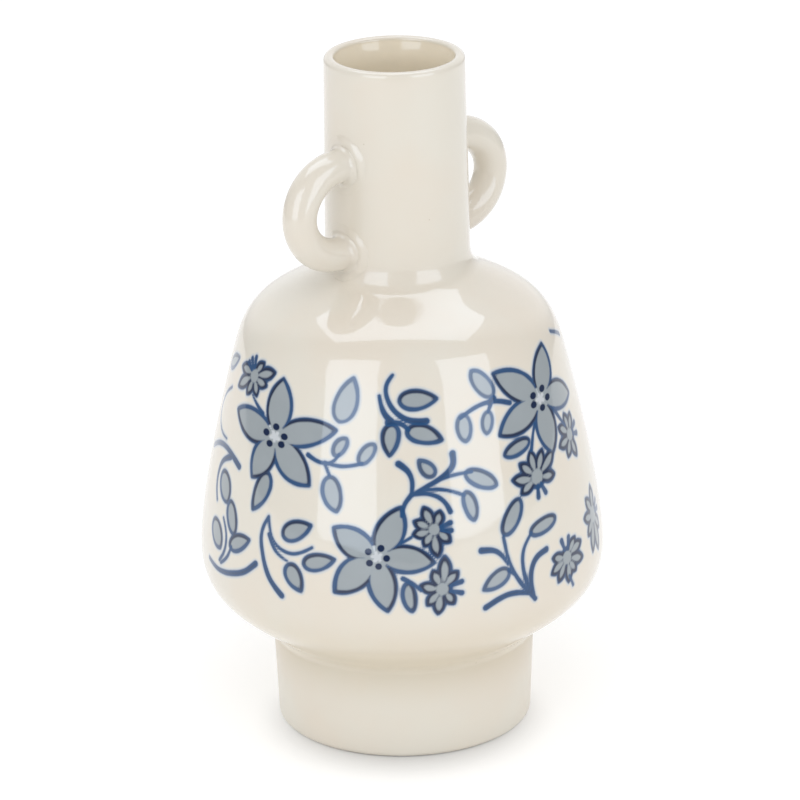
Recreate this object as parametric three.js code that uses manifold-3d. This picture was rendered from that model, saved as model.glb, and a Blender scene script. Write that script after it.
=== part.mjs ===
// Two-handled bottle vase in glazed ceramic: a cylindrical foot, a bowl, a tapering shoulder section,
// a straight neck and two coil handles, luted together with slip and small coils of clay.
// Millimetres, +Z up. The origin is the centre of the circle that the vase stands on.

import * as THREE from "three";
import { mergeVertices } from "three/addons/utils/BufferGeometryUtils.js";
import Module from "manifold-3d";

// ---- Driving dimensions -------------------------------------------------------------------------

// Section heights, from the table up
const FOOT_HEIGHT = 35.6;
const BOWL_HEIGHT = 28.4;
const TAPER_HEIGHT = 72.8;
const SHOULDER_HEIGHT = 26.2;
const NECK_HEIGHT = 77;

// Outer radii
const FOOT_BASE_RADIUS = 44.5;
const FOOT_TOP_RADIUS = 45.9;
const BELLY_RADIUS = 70.3;
const SHOULDER_RADIUS = 56.8;
const NECK_BASE_RADIUS = 25.1;
const RIM_RADIUS = 24;

// Walls
const BODY_WALL = 4;
const NECK_WALL = 4;
const FOOT_WALL = 4.5;
const FLOOR_THICKNESS = 5.5;

// Foot details
const FOOT_EDGE_ROUND = 1.8;
const FOOT_RING_WIDTH = 6;
const FOOT_RECESS_DEPTH = 3;
const FOOT_RECESS_SLOPE = 1;
const FLOOR_ROUND = 6;

// Curve shapes: slopes from the horizontal, and how far each curve keeps its end direction
const BOWL_SPREAD_KEEP = 0.5;
const BOWL_RISE_KEEP = 0.31;
const BELLY_KEEP = 0.53;
const TAPER_KEEP = 0.245;
const TAPER_LEAN = THREE.MathUtils.degToRad(14.6);
const SHOULDER_KEEP = 0.67;
const SEAT_KEEP = 0.64;
const SEAT_SLOPE = THREE.MathUtils.degToRad(28.7);

// Lip of the mouth
const LIP_ROUND = 1.7;

// Seams
const FOOT_SEAM_REACH = 2.6;
const FOOT_SEAM_DROP = 4.1;
const FOOT_SEAM_FALL_SHARE = 0.8; // of the drop, at most, that the bowl's slope takes
const NECK_SEAM_REACH = 5.4;
const NECK_SEAM_RISE = 9;
const SEAM_EDGE = 0.25;
const BELLY_COIL_HALF_HEIGHT = 4;
const BELLY_COIL_CROWN_HALF_HEIGHT = 2;
const BELLY_COIL_DEPTH = 2.2;

// Handles: each is part of an ellipse in the plane through the vase's axis
const HANDLE_TUBE_RADIUS = 5.9;
const HANDLE_REACH = 17.35;
const HANDLE_HALF_HEIGHT = 15.4;
const HANDLE_STAND_OFF = 1.4;
const HANDLE_CENTRE_ABOVE_SEAT = 27.85;
const HANDLE_ROOT_DEPTH = 3;

// Luting beads round the handle roots
const BEAD_SWELL = 2.2;
const BEAD_LENGTH = 3.4;
const BEAD_EDGE = 0.6;
const BEAD_ROOT_SHARE = 0.8; // of the handle's root depth that the bead fills

// Clearance between pieces that meet along a cut surface
const GAP = 0.3;

// Facets
const TURN_SEGMENTS = 48;
const CURVE_STEPS = 6;
const ROUND_STEPS = 3;
const TUBE_HALF_TURN_SIDES = 12;
const TUBE_STEPS = 22;
const BEAD_SEGMENTS = 32;

// ---- Derived places -----------------------------------------------------------------------------

const BELLY_Z = FOOT_HEIGHT + BOWL_HEIGHT;
const BREAK_Z = BELLY_Z + TAPER_HEIGHT;
const SEAT_Z = BREAK_Z + SHOULDER_HEIGHT;
const RIM_Z = SEAT_Z + NECK_HEIGHT;
const FLOOR_Z = FOOT_RECESS_DEPTH + FLOOR_THICKNESS;
const BOWL_SEAT_RADIUS = FOOT_TOP_RADIUS + FOOT_SEAM_REACH;
const NECK_SEAT_RADIUS = NECK_BASE_RADIUS + NECK_SEAM_REACH;
const HANDLE_CENTRE_Z = SEAT_Z + HANDLE_CENTRE_ABOVE_SEAT;
const HANDLE_CENTRE_RADIUS = NECK_BASE_RADIUS + HANDLE_STAND_OFF;

const footRadiusAt = (z) => THREE.MathUtils.mapLinear(
  z, FOOT_EDGE_ROUND, FOOT_HEIGHT, FOOT_BASE_RADIUS, FOOT_TOP_RADIUS);
const neckRadiusAt = (z) => THREE.MathUtils.mapLinear(
  z, SEAT_Z, RIM_Z - LIP_ROUND, NECK_BASE_RADIUS, RIM_RADIUS);

// ---- Materials ----------------------------------------------------------------------------------

const GLAZE = { color: 0xe6ded2, roughness: 0.15, metalness: 0 };
const glaze = () => new THREE.MeshStandardMaterial(GLAZE);
const barePaste = () => new THREE.MeshStandardMaterial({ ...GLAZE, color: 0xd9cbb4, roughness: 0.6 });

// ---- Geometry helpers ---------------------------------------------------------------------------

const wasm = await Module();
wasm.setup();

const point = (radius, z) => new THREE.Vector2(radius, z);

function namedMesh(name, geometry, material) {
  const mesh = new THREE.Mesh(geometry, material);
  mesh.name = name;
  return mesh;
}

// Turns a profile of (radius, height) points about the vase's axis
function turned(profile, segments = TURN_SEGMENTS) {
  const geometry = new THREE.LatheGeometry(profile, segments);
  geometry.rotateX(Math.PI / 2);
  return geometry;
}

const turnedRing = (profile) => turned([...profile, profile[0]]);

// Points on an arc, from one angle to another, both included
function arc(centre, radius, from, to, steps = ROUND_STEPS) {
  return Array.from({ length: steps + 1 }, (_, i) => {
    const angle = THREE.MathUtils.lerp(from, to, i / steps);
    return point(centre.x + radius * Math.cos(angle), centre.y + radius * Math.sin(angle));
  });
}

// The curve moved to its left by a distance, as a wall's inner face lies from its outer one
function offsetPoints(curve, distance) {
  return Array.from({ length: CURVE_STEPS + 1 }, (_, i) => {
    const at = curve.getPoint(i / CURVE_STEPS);
    const along = curve.getTangent(i / CURVE_STEPS);
    return point(at.x - along.y * distance, at.y + along.x * distance);
  });
}

function solidOf(geometry) {
  const bare = new THREE.BufferGeometry();
  bare.setAttribute("position", geometry.getAttribute("position"));
  bare.setIndex(geometry.getIndex());
  const merged = mergeVertices(bare);
  const mesh = new wasm.Mesh({
    numProp: 3,
    vertProperties: new Float32Array(merged.getAttribute("position").array),
    triVerts: new Uint32Array(merged.getIndex().array),
  });
  mesh.merge();
  return new wasm.Manifold(mesh);
}

function geometryOf(solid) {
  const mesh = solid.getMesh();
  const geometry = new THREE.BufferGeometry();
  geometry.setAttribute("position", new THREE.BufferAttribute(mesh.vertProperties, mesh.numProp));
  geometry.setIndex(new THREE.BufferAttribute(mesh.triVerts, 1));
  geometry.computeVertexNormals();
  return geometry;
}

// ---- Body sections ------------------------------------------------------------------------------

// Cup with a recessed underside, standing on a flat ring
function footGeometry() {
  const ringOuter = FOOT_BASE_RADIUS - FOOT_EDGE_ROUND;
  const ringInner = ringOuter - FOOT_RING_WIDTH;
  const cornerRadius = footRadiusAt(FLOOR_Z + FLOOR_ROUND) - FOOT_WALL;
  const corner = point(cornerRadius - FLOOR_ROUND, FLOOR_Z + FLOOR_ROUND);
  return turned([
    point(0, FOOT_RECESS_DEPTH),
    point(ringInner - FOOT_RECESS_SLOPE, FOOT_RECESS_DEPTH),
    point(ringInner, 0),
    ...arc(point(ringOuter, FOOT_EDGE_ROUND), FOOT_EDGE_ROUND, -Math.PI / 2, 0),
    point(FOOT_TOP_RADIUS, FOOT_HEIGHT),
    point(FOOT_TOP_RADIUS - FOOT_WALL, FOOT_HEIGHT),
    ...arc(corner, FLOOR_ROUND, 0, -Math.PI / 2),
    point(0, FLOOR_Z),
  ]);
}

// Outer line of the bowl, from its seat on the foot out to the belly
function bowlCurve() {
  const spread = BELLY_RADIUS - BOWL_SEAT_RADIUS;
  return new THREE.CubicBezierCurve(
    point(BOWL_SEAT_RADIUS, FOOT_HEIGHT),
    point(BOWL_SEAT_RADIUS + BOWL_SPREAD_KEEP * spread, FOOT_HEIGHT + BOWL_RISE_KEEP * BOWL_HEIGHT),
    point(BELLY_RADIUS, BELLY_Z - BELLY_KEEP * BOWL_HEIGHT),
    point(BELLY_RADIUS, BELLY_Z),
  );
}

function bowlGeometry() {
  const curve = bowlCurve();
  return turnedRing([
    ...curve.getPoints(CURVE_STEPS),
    point(BELLY_RADIUS - BODY_WALL, BELLY_Z),
    ...offsetPoints(curve, BODY_WALL).slice(0, -1).reverse(),
    point(FOOT_TOP_RADIUS - FOOT_WALL, FOOT_HEIGHT),
  ]);
}

// Outer line from the belly up the long taper to the shoulder's break
function taperCurve() {
  const keep = TAPER_KEEP * TAPER_HEIGHT;
  return new THREE.CubicBezierCurve(
    point(BELLY_RADIUS, BELLY_Z),
    point(BELLY_RADIUS, BELLY_Z + keep),
    point(SHOULDER_RADIUS + keep * Math.sin(TAPER_LEAN), BREAK_Z - keep * Math.cos(TAPER_LEAN)),
    point(SHOULDER_RADIUS, BREAK_Z),
  );
}

// Outer line over the shoulder to the neck's seat
function shoulderCurve() {
  const rise = SHOULDER_KEEP * SHOULDER_HEIGHT;
  const reach = SEAT_KEEP * (SHOULDER_RADIUS - NECK_SEAT_RADIUS);
  return new THREE.CubicBezierCurve(
    point(SHOULDER_RADIUS, BREAK_Z),
    point(SHOULDER_RADIUS - rise * Math.sin(TAPER_LEAN), BREAK_Z + rise * Math.cos(TAPER_LEAN)),
    point(NECK_SEAT_RADIUS + reach * Math.cos(SEAT_SLOPE), SEAT_Z - reach * Math.sin(SEAT_SLOPE)),
    point(NECK_SEAT_RADIUS, SEAT_Z),
  );
}

function shoulderGeometry() {
  const boreRadius = NECK_BASE_RADIUS - NECK_WALL;
  const taper = taperCurve();
  const shoulder = shoulderCurve();
  const inner = [
    point(BELLY_RADIUS - BODY_WALL, BELLY_Z),
    ...offsetPoints(taper, BODY_WALL).slice(1, -1),
    ...offsetPoints(shoulder, BODY_WALL),
  ];
  return turnedRing([
    ...taper.getPoints(CURVE_STEPS).slice(0, -1),
    ...shoulder.getPoints(CURVE_STEPS),
    point(boreRadius, SEAT_Z),
    point(boreRadius, SEAT_Z - BODY_WALL),
    ...inner.reverse(),
  ]);
}

// Tapering tube with a rounded lip
function neckGeometry() {
  const lipZ = RIM_Z - LIP_ROUND;
  const lipOuter = point(neckRadiusAt(lipZ) - LIP_ROUND, lipZ);
  const lipInner = point(neckRadiusAt(lipZ) - NECK_WALL + LIP_ROUND, lipZ);
  return turnedRing([
    point(NECK_BASE_RADIUS - NECK_WALL, SEAT_Z),
    point(NECK_BASE_RADIUS, SEAT_Z),
    ...arc(lipOuter, LIP_ROUND, 0, Math.PI / 2),
    ...arc(lipInner, LIP_ROUND, Math.PI / 2, Math.PI),
  ]);
}

// ---- Seams --------------------------------------------------------------------------------------

// Hollow of the clay wiped into the corner under the bowl, from the foot's wall out to the bowl
function footSeamCurve() {
  const lowZ = FOOT_HEIGHT - FOOT_SEAM_DROP;
  const lowRadius = footRadiusAt(lowZ) + SEAM_EDGE;
  const slope = (BOWL_RISE_KEEP * BOWL_HEIGHT) / (BOWL_SPREAD_KEEP * (BELLY_RADIUS - BOWL_SEAT_RADIUS));
  const fall = Math.min((BOWL_SEAT_RADIUS - lowRadius) * slope, FOOT_SEAM_DROP * FOOT_SEAM_FALL_SHARE);
  return new THREE.QuadraticBezierCurve(
    point(lowRadius, lowZ),
    point(lowRadius, FOOT_HEIGHT - fall),
    point(BOWL_SEAT_RADIUS, FOOT_HEIGHT),
  );
}

function footSeamGeometry() {
  return turnedRing([
    point(footRadiusAt(FOOT_HEIGHT - FOOT_SEAM_DROP), FOOT_HEIGHT - FOOT_SEAM_DROP),
    ...footSeamCurve().getPoints(ROUND_STEPS + 1),
    point(FOOT_TOP_RADIUS, FOOT_HEIGHT),
  ]);
}

// Hollow of the clay wiped into the corner round the neck, from the shoulder up the neck's wall
function neckSeamCurve() {
  const topZ = SEAT_Z + NECK_SEAM_RISE;
  const topRadius = neckRadiusAt(topZ) + SEAM_EDGE;
  const rise = (NECK_SEAT_RADIUS - topRadius) * Math.tan(SEAT_SLOPE);
  return new THREE.QuadraticBezierCurve(
    point(NECK_SEAT_RADIUS, SEAT_Z),
    point(topRadius, SEAT_Z + rise),
    point(topRadius, topZ),
  );
}

function neckSeamGeometry() {
  const topZ = SEAT_Z + NECK_SEAM_RISE;
  return turnedRing([
    point(NECK_BASE_RADIUS, SEAT_Z),
    ...neckSeamCurve().getPoints(CURVE_STEPS),
    point(neckRadiusAt(topZ), topZ),
  ]);
}

// Radius of a wall's line at a height, between the two of its points that the height lies between
function radiusOn(line, z) {
  const above = Math.max(1, line.findIndex((p) => p.y >= z));
  return THREE.MathUtils.mapLinear(z, line[above - 1].y, line[above].y, line[above - 1].x, line[above].x);
}

// Half-round coil pressed over the inside of the belly seam
function bellySeamGeometry() {
  const backRadius = Math.min(
    radiusOn(offsetPoints(bowlCurve(), BODY_WALL), BELLY_Z - BELLY_COIL_HALF_HEIGHT),
    radiusOn(offsetPoints(taperCurve(), BODY_WALL), BELLY_Z + BELLY_COIL_HALF_HEIGHT),
  ) - GAP;
  return turnedRing([
    point(backRadius, BELLY_Z - BELLY_COIL_HALF_HEIGHT),
    point(backRadius, BELLY_Z + BELLY_COIL_HALF_HEIGHT),
    point(backRadius - BELLY_COIL_DEPTH, BELLY_Z + BELLY_COIL_CROWN_HALF_HEIGHT),
    point(backRadius - BELLY_COIL_DEPTH, BELLY_Z - BELLY_COIL_CROWN_HALF_HEIGHT),
  ]);
}

// ---- Handles ------------------------------------------------------------------------------------

// Centre line of a handle in the +X half of the XZ plane: an ellipse that runs on into the neck
class HandleLine extends THREE.Curve {
  getPoint(t, target = new THREE.Vector3()) {
    const end = Math.acos(-(HANDLE_STAND_OFF + HANDLE_ROOT_DEPTH) / HANDLE_REACH);
    const angle = THREE.MathUtils.lerp(-end, end, t);
    return target.set(
      HANDLE_CENTRE_RADIUS + HANDLE_REACH * Math.cos(angle),
      0,
      HANDLE_CENTRE_Z + HANDLE_HALF_HEIGHT * Math.sin(angle),
    );
  }
}

// Everything the handles are cut back to: the neck and its seam, larger by the gap
function neckCutter() {
  return solidOf(turned([
    point(0, SEAT_Z),
    ...neckSeamCurve().getPoints(CURVE_STEPS).map((p) => point(p.x + GAP, p.y)),
    point(RIM_RADIUS + GAP + SEAM_EDGE, RIM_Z),
    point(0, RIM_Z),
  ]));
}

function tubeSolid(radius) {
  const section = new THREE.Shape().absarc(0, 0, radius, 0, 2 * Math.PI);
  return solidOf(new THREE.ExtrudeGeometry(section, {
    steps: TUBE_STEPS,
    curveSegments: TUBE_HALF_TURN_SIDES,
    extrudePath: new HandleLine(),
  }));
}

// Flared collar on the +X side at a height, its wide end sunk in the neck
function beadBlank(z) {
  const foot = NECK_BASE_RADIUS - HANDLE_ROOT_DEPTH;
  const length = HANDLE_ROOT_DEPTH + BEAD_LENGTH;
  const wide = HANDLE_TUBE_RADIUS + BEAD_SWELL;
  const narrow = HANDLE_TUBE_RADIUS + BEAD_EDGE;
  const flare = new THREE.QuadraticBezierCurve(
    point(wide, HANDLE_ROOT_DEPTH * BEAD_ROOT_SHARE),
    point(narrow + BEAD_EDGE, HANDLE_ROOT_DEPTH + BEAD_EDGE),
    point(narrow, length),
  );
  const geometry = new THREE.LatheGeometry([
    point(0, 0),
    point(wide, 0),
    ...flare.getPoints(ROUND_STEPS),
    point(0, length),
  ], BEAD_SEGMENTS);
  geometry.rotateZ(-Math.PI / 2);
  geometry.translate(foot, 0, z);
  return solidOf(geometry);
}

// One handle and its two beads, on the +X side (side = 1) or turned half round to the -X side
function handleMeshes(name, side) {
  const turn = side > 0 ? 0 : Math.PI;
  const cutter = neckCutter();
  const handle = tubeSolid(HANDLE_TUBE_RADIUS).subtract(cutter);
  const clearTube = tubeSolid(HANDLE_TUBE_RADIUS + GAP);
  const roots = {
    upper: HANDLE_CENTRE_Z + HANDLE_HALF_HEIGHT,
    lower: HANDLE_CENTRE_Z - HANDLE_HALF_HEIGHT,
  };
  const meshes = [namedMesh(name, geometryOf(handle), glaze())];
  for (const [root, z] of Object.entries(roots)) {
    const bead = beadBlank(z).subtract(clearTube).subtract(cutter);
    meshes.push(namedMesh(`${name}_${root}_bead`, geometryOf(bead), glaze()));
  }
  for (const mesh of meshes) {
    mesh.rotation.z = turn;
  }
  return meshes;
}

// ---- Assembly -----------------------------------------------------------------------------------

const vase = new THREE.Group();
vase.add(
  namedMesh("foot", footGeometry(), barePaste()),
  namedMesh("bowl", bowlGeometry(), glaze()),
  namedMesh("shoulder", shoulderGeometry(), glaze()),
  namedMesh("neck", neckGeometry(), glaze()),
  namedMesh("foot_seam_coil", footSeamGeometry(), glaze()),
  namedMesh("belly_seam_coil", bellySeamGeometry(), glaze()),
  namedMesh("neck_seam_coil", neckSeamGeometry(), glaze()),
  ...handleMeshes("handle_left", -1),
  ...handleMeshes("handle_right", 1),
);

export default vase;
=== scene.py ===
"""Looks of a two-handled glazed vase: fine pottery meshes, a painted band of flowers and its glaze."""

import math

import bpy
import numpy as np
from mathutils import Euler, Matrix, Vector


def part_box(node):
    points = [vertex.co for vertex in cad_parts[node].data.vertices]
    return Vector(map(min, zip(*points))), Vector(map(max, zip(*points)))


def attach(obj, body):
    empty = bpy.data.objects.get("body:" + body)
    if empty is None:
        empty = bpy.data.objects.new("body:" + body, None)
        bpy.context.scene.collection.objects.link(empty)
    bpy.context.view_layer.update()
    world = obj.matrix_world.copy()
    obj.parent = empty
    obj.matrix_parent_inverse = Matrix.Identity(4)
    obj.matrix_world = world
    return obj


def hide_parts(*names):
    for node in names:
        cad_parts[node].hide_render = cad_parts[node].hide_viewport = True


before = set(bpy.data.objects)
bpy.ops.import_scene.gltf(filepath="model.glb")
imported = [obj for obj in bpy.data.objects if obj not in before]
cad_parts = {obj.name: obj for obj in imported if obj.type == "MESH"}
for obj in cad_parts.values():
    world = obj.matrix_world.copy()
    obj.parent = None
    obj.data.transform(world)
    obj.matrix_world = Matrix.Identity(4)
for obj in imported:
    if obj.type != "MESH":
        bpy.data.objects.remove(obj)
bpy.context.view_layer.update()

MM = 0.001
TURN = 2 * math.pi

# ---- Camera and light ----

VIEW_AZIMUTH = -42.0  # degrees round the vase, 0 looks along +Y
CAMERA_DISTANCE = 1.4963
CAMERA_HEIGHT = 0.6785
CAMERA_TILT = 20.62
CAMERA_ROLL = -0.952
CAMERA_LENS = 207.9
CAMERA_SENSOR = 36.0

# ---- Mesh density ----

PAINTED_COLUMNS = 640
PLAIN_COLUMNS = 320
HIDDEN_COLUMNS = 160
PAINTED_STEP = 0.68 * MM
PLAIN_STEP = 1.6 * MM


# ---- Small geometry helpers ----

def smoothstep(low, high, value):
    t = np.clip((value - low) / (high - low), 0.0, 1.0)
    return t * t * (3 - 2 * t)


def spline(points, step):
    """A C2 curve through the points, sampled about every step; the ends run straight."""
    points = np.asarray(points, float)
    at = np.concatenate([[0], np.cumsum(np.hypot(*np.diff(points, axis=0).T))])
    n = len(at)
    gap = np.diff(at)
    system = np.eye(n)
    right = np.zeros((n, 2))
    for i in range(1, n - 1):
        system[i, i - 1:i + 2] = gap[i - 1], 2 * (gap[i - 1] + gap[i]), gap[i]
        right[i] = 6 * ((points[i + 1] - points[i]) / gap[i] - (points[i] - points[i - 1]) / gap[i - 1])
    bend = np.linalg.solve(system, right)
    samples = np.linspace(0, at[-1], max(2, round(at[-1] / step) + 1))
    k = np.clip(np.searchsorted(at, samples, side="right") - 1, 0, n - 2)
    h = gap[k][:, None]
    a = (at[k + 1] - samples)[:, None]
    b = (samples - at[k])[:, None]
    return (bend[k] * a ** 3 + bend[k + 1] * b ** 3) / (6 * h) \
        + (points[k] / h - bend[k] * h / 6) * a + (points[k + 1] / h - bend[k + 1] * h / 6) * b


def cubic(start, near, far, end, count):
    t = np.linspace(0, 1, count)[:, None]
    a, b, c, d = (np.array(p) for p in (start, near, far, end))
    return (1 - t) ** 3 * a + 3 * (1 - t) ** 2 * t * b + 3 * (1 - t) * t * t * c + t ** 3 * d


def arc(centre, radius, start, stop, count):
    """Points of a circle's arc between two angles in degrees."""
    angle = np.radians(np.linspace(start, stop, count))
    return np.stack([centre[0] + radius * np.cos(angle), centre[1] + radius * np.sin(angle)], axis=1)


def line(start, end, step):
    count = max(2, round(math.dist(start, end) / step) + 1)
    return np.linspace(start, end, count)


def chain(*parts):
    """Stretches of a profile end to end, with the shared points kept once."""
    whole = [np.asarray(parts[0], float)]
    for part in parts[1:]:
        part = np.asarray(part, float)
        shared = np.allclose(whole[-1][-1], part[0], atol=1e-7)
        whole.append(part[1:] if shared else part)
    return np.concatenate(whole)


def profile_of(node):
    """A turned CAD node's outline on its +X side, in order, as (radius, height) points."""
    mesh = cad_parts[node].data
    places = [tuple(round(c, 7) for c in v.co) for v in mesh.vertices]
    joined = {}
    for edge in mesh.edges:
        a, b = (places[i] for i in edge.vertices)
        if a != b and all(abs(p[1]) < 1e-6 and p[0] > -1e-6 for p in (a, b)):
            joined.setdefault((a[0], a[2]), set()).add((b[0], b[2]))
            joined.setdefault((b[0], b[2]), set()).add((a[0], a[2]))
    ends = [p for p, others in joined.items() if len(others) == 1]
    here = min(ends or joined, key=lambda p: (p[1], p[0]))
    path = [here]
    while True:
        onward = [p for p in sorted(joined[here], reverse=True) if p not in path]
        if not onward:
            return np.array(path)
        here = onward[0]
        path.append(here)


def side_of(node, outward):
    """A node's outline from its lowest point to its highest: the outer side for 1, the inner for -1."""
    path = profile_of(node)
    low = max(range(len(path)), key=lambda i: (-round(path[i][1], 6), outward * path[i][0]))
    high = max(range(len(path)), key=lambda i: (round(path[i][1], 6), outward * path[i][0]))
    path = np.roll(path, -low, axis=0)
    stop = (high - low) % len(path)
    forward, backward = path[:stop + 1], np.concatenate([path[:1], path[stop:][::-1]])
    return max((forward, backward), key=lambda side: outward * side[len(side) // 2][0])


# ---- The hand in the clay ----

WOBBLE = 0.07 * MM


def wobble(angle, height):
    """How far hand-finished clay stands back from its true radius, always inside it."""
    z = height / (100 * MM)
    waves = 0.40 * np.sin(2 * angle + 1.3 + 2.1 * z) + 0.25 * np.sin(3 * angle - 0.7 - 4.4 * z)
    waves += 0.20 * np.sin(5 * angle + 2.9 + 7.3 * z) + 0.15 * np.sin(17.0 * z + 1.1 * np.sin(angle))
    return WOBBLE * (waves - 1.0)


# ---- Mesh building ----

class Shell:
    """Rings of vertices round the vase's axis, joined into one closed mesh."""

    def __init__(self):
        self.points = []
        self.along = []
        self.faces = []
        self.stretch = []
        self.count = 0

    def ring(self, radius, height, columns, along):
        if radius < 1e-6:
            columns = 1
        angle = np.arange(columns) * TURN / columns
        r = radius + wobble(angle, height) if columns > 1 else np.zeros(1)
        self.points.append(np.stack([r * np.cos(angle), r * np.sin(angle), np.full(columns, height)], axis=1))
        self.along.append(np.full(columns, along))
        self.count += columns
        return self.count - columns, columns

    def bridge(self, below, above, stretch):
        """Faces between two rings, where one has a whole number of columns to each of the other's."""
        before = len(self.faces)
        (a, n), (b, m) = below, above
        if n == m == 1:
            return
        i = np.arange(max(n, m))
        if n == m:
            self.faces += np.stack([a + i, a + (i + 1) % n, b + (i + 1) % n, b + i], axis=1).tolist()
        elif m == 1:
            self.faces += [[a + k, a + (k + 1) % n, b] for k in i]
        elif n == 1:
            self.faces += [[a, b + (k + 1) % m, b + k] for k in i]
        elif n > m:
            self.faces += fan(a, n, b, m)
        else:
            self.faces += [triangle[::-1] for triangle in fan(b, m, a, n)]
        self.stretch += [stretch] * (len(self.faces) - before)


def fan(fine, n, coarse, m):
    """Triangles from a ring of n vertices to a coarser one of m."""
    share = n // m
    middle = share // 2
    triangles = []
    for k in range(m):
        after = coarse + (k + 1) % m
        for j in range(share):
            apex = coarse + k if j < middle else after
            triangles.append([fine + k * share + j, fine + (k * share + j + 1) % n, apex])
        triangles.append([fine + k * share + middle, after, coarse + k])
    return triangles


def new_piece(name, points, faces):
    mesh = bpy.data.meshes.new(name)
    mesh.from_pydata(points, [], faces)
    mesh.polygons.foreach_set("use_smooth", np.ones(len(mesh.polygons), bool))
    mesh.update()
    piece = bpy.data.objects.new(name, mesh)
    bpy.context.scene.collection.objects.link(piece)
    return piece


def read(items, field, width=1, kind=int):
    """One field of a mesh's vertices, edges, faces or corners as an array, with a row for each item."""
    flat = np.empty(len(items) * width, kind)
    items.foreach_get(field, flat)
    return flat.reshape(-1, width) if width > 1 else flat


def store(mesh, name, values, kind="FLOAT", domain="POINT"):
    mesh.attributes.new(name, kind, domain).data.foreach_set("value", values)


def mark_sharp(mesh, rings):
    """Marks the edges along the rings, so that a hidden face doesn't bend the shading of the one it meets."""
    ring_of = np.zeros(len(mesh.vertices), int)
    for number, (first, columns) in enumerate(rings, start=1):
        ring_of[first:first + columns] = number
    a, b = ring_of[read(mesh.edges, "vertices", 2)].T
    store(mesh, "sharp_edge", (a > 0) & (a == b), "BOOLEAN", "EDGE")


def mark_inside(mesh, shell, number, count):
    """Stores 1 on the vertices past the first stretch, which are the vase's inside or underside."""
    sizes = [len(ring) for ring in shell.points[:count]]
    store(mesh, "inside", np.repeat(np.array(number) > 0, sizes).astype(np.float32))


def corners_of(mesh):
    """Each face corner's vertex, each face's number of corners, and each corner's face."""
    sizes = read(mesh.polygons, "loop_total")
    return read(mesh.loops, "vertex_index"), sizes, np.repeat(np.arange(len(sizes)), sizes)


def store_bake_map(mesh, u, v):
    uv = np.stack([u, v], axis=1).astype(np.float32)
    mesh.uv_layers.new(name="OFBake").data.foreach_set("uv", uv.ravel())


BAKE_SHARE = 0.95  # of the baked sheet's side that the seen outer wall takes, as four quarter turns
BAKE_MARGIN = 0.006
BAKE_SPARE = 1.02  # share of the whole run that the strip for the rest has room for


def lay_out_bake(mesh, along, stretch):
    """A bake map: the first stretch as four quarters, and the rest in a narrow strip beside them."""
    corners, sizes, face = corners_of(mesh)
    x, y, _ = read(mesh.vertices, "co", 3, float).T
    cx, cy = (np.bincount(face, v[corners]) / sizes for v in (x, y))
    middle = (np.arctan2(cy, cx) % TURN)[face]
    angle = np.arctan2(y, x)[corners]
    turned_by = (middle + (angle - middle + math.pi) % TURN - math.pi) / TURN * 4
    quarter = np.floor(middle / TURN * 4)
    across = turned_by - quarter
    first = (np.array(stretch) == 0)[face]
    run = along[corners]
    top = along[corners[first]].max()
    half = BAKE_SHARE / 2
    side = half - 2 * BAKE_MARGIN
    u_seen = (quarter % 2) * half + side * across + BAKE_MARGIN
    v_seen = (quarter // 2) * half + side * run / top + BAKE_MARGIN
    u_rest = BAKE_SHARE + (1 - BAKE_SHARE - BAKE_MARGIN) * (quarter + across) / 4
    v_rest = np.clip((run - top) / max(along.max() * BAKE_SPARE - top, 1e-9), 0, 1)
    store_bake_map(mesh, np.where(first, u_seen, u_rest), np.where(first, v_seen, v_rest))


def turned(name, stretches, closed=True):
    """One piece turned round the axis; each stretch of its profile is (points, columns)."""
    shell = Shell()
    rings = []
    number = []
    corners = []
    run = 0.0
    before = stretches[0][0][0]
    for k, (points, columns) in enumerate(stretches):
        for point in points:
            run += math.dist(before, point)
            before = point
            rings.append(shell.ring(*point, columns, run))
            number.append(k)
        corners.append(rings[-1])
    for k in range(1, len(rings)):
        shell.bridge(rings[k - 1], rings[k], number[k])
    if closed:
        shell.bridge(rings[-1], rings[0], len(stretches))
    piece = new_piece(name, np.concatenate(shell.points).tolist(), shell.faces)
    mark_inside(piece.data, shell, number, len(rings))
    mark_sharp(piece.data, [ring for ring in [rings[0], *corners] if ring[1] > 1])
    lay_out_bake(piece.data, np.concatenate(shell.along), shell.stretch)
    return piece


# ---- The vase's lines, from the frame ----

FOOT_EDGE = 1.8 * MM
RING_EDGE = 0.6 * MM
LIP_HALF_FLAT = 0.25 * MM
LIP_EDGE = 0.5 * MM  # how far outside the bore the lip's inner edge stands
LIP_THROAT = 0.7 * MM  # how far inside it the thickened lip reaches below that
LIP_ROUND = 1.4 * MM  # depth below the rim where the lip's rounded inner edge ends
LIP_NARROW = 9.0 * MM  # depth where the throat is reached
LIP_EASE = 26.0 * MM  # height of the thickened lip

foot_low, foot_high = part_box("foot")
neck_low, neck_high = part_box("neck")
FOOT_SEAM_LOW, FOOT_SEAM_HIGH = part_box("foot_seam_coil")
NECK_SEAM_LOW, NECK_SEAM_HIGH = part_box("neck_seam_coil")
BELLY_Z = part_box("bowl")[1][2]


def radii_at(node, height):
    """Least and greatest radius of a node's outline among its points at a height."""
    radii = [r for r, z in profile_of(node) if abs(z - height) < 1e-6]
    return min(radii), max(radii)


def seam_line(node, seat_first):
    """A seam coil's outer line, drawn in to lie on the wall that its thin edge meets."""
    side = side_of(node, 1)
    share = (side[:, 1] - side[0, 1]) / (side[-1, 1] - side[0, 1])
    wall = profile_of(node)
    thin = side[-1 if seat_first else 0]
    edge = thin[0] - min(r for r, z in wall if abs(z - thin[1]) < 1e-6)
    side[:, 0] -= edge * (share if seat_first else 1 - share)
    return side


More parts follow.
